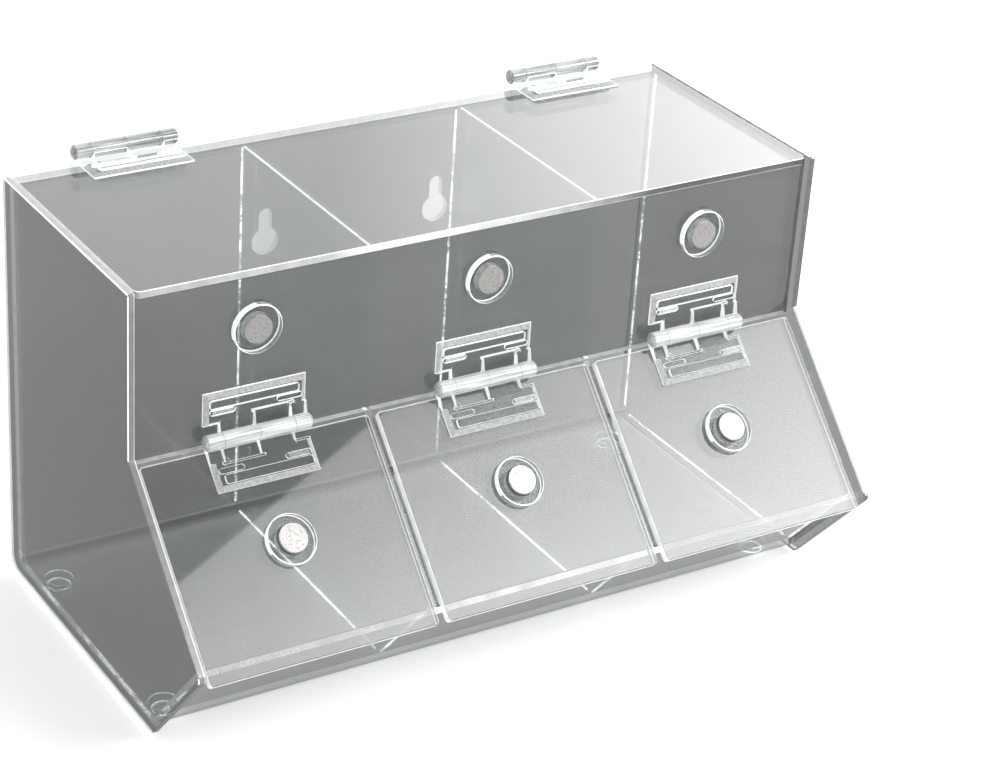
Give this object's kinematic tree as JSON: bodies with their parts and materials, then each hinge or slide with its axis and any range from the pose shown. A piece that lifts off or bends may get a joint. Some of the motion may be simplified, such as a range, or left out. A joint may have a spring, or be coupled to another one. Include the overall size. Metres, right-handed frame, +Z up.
{
  "type": "disposable glove dispenser",
  "caption": "Clear acrylic bench or wall dispenser for disposable gloves, with compartments behind slanted lift-up doors held open by magnets and a full-width hinged lid.",
  "frame": {"origin": "on the surface that the feet stand on, under the middle of the overall width and depth", "axes": "+X to the right as seen from the front, +Y from the doors to the back, +Z up"},
  "size_m": [0.3174, 0.1858, 0.1907],
  "materials": {
    "clear_sheet": "clear cast acrylic sheet, polished faces",
    "moulded_clear": "clear moulded acrylic",
    "nickel_plate": "nickel-plated magnet, satin",
    "clear_bumper": "clear polyurethane bumper"
  },
  "bodies": {
    "base": {"tray": "clear_sheet", "side_panel_left": "clear_sheet", "side_panel_right": "clear_sheet", "divider_left": "clear_sheet", "divider_right": "clear_sheet", "front_panel": "clear_sheet", "panel_ring_left": "moulded_clear", "panel_ring_middle": "moulded_clear", "panel_ring_right": "moulded_clear", "panel_magnet_left": "nickel_plate", "panel_magnet_middle": "nickel_plate", "panel_magnet_right": "nickel_plate", "foot_front_left": "clear_bumper", "foot_front_right": "clear_bumper", "foot_rear_left": "clear_bumper", "foot_rear_right": "clear_bumper", "door_left_hinge_fixed_leaf": "moulded_clear", "door_middle_hinge_fixed_leaf": "moulded_clear", "door_right_hinge_fixed_leaf": "moulded_clear", "lid_left_hinge_fixed_leaf": "moulded_clear", "lid_right_hinge_fixed_leaf": "moulded_clear", "door_left_hinge_pin": "moulded_clear", "door_middle_hinge_pin": "moulded_clear", "door_right_hinge_pin": "moulded_clear", "lid_left_hinge_pin": "moulded_clear", "lid_right_hinge_pin": "moulded_clear"},
    "lid": {"lid": "clear_sheet", "lid_left_hinge_moving_leaf": "moulded_clear", "lid_right_hinge_moving_leaf": "moulded_clear"},
    "door_left": {"door_left": "clear_sheet", "door_left_hinge_moving_leaf": "moulded_clear", "door_ring_left": "moulded_clear", "door_magnet_left": "nickel_plate"},
    "door_middle": {"door_middle": "clear_sheet", "door_middle_hinge_moving_leaf": "moulded_clear", "door_ring_middle": "moulded_clear", "door_magnet_middle": "nickel_plate"},
    "door_right": {"door_right": "clear_sheet", "door_right_hinge_moving_leaf": "moulded_clear", "door_ring_right": "moulded_clear", "door_magnet_right": "nickel_plate"}
  },
  "joints": [
    {"name": "lid_hinge", "type": "hinge", "parent": "base", "child": "lid", "pos_m": [0, 0.08961, 0.1875], "axis": [-1, 0, 0], "range_deg": [0, 270]},
    {"name": "door_left_hinge", "type": "hinge", "parent": "base", "child": "door_left", "pos_m": [-0.104, -0.03189, 0.11391], "axis": [-1, 0, 0], "range_deg": [0, 135]},
    {"name": "door_middle_hinge", "type": "hinge", "parent": "base", "child": "door_middle", "pos_m": [0, -0.03189, 0.11391], "axis": [-1, 0, 0], "range_deg": [0, 135]},
    {"name": "door_right_hinge", "type": "hinge", "parent": "base", "child": "door_right", "pos_m": [0.104, -0.03189, 0.11391], "axis": [-1, 0, 0], "range_deg": [0, 135]}
  ]
}
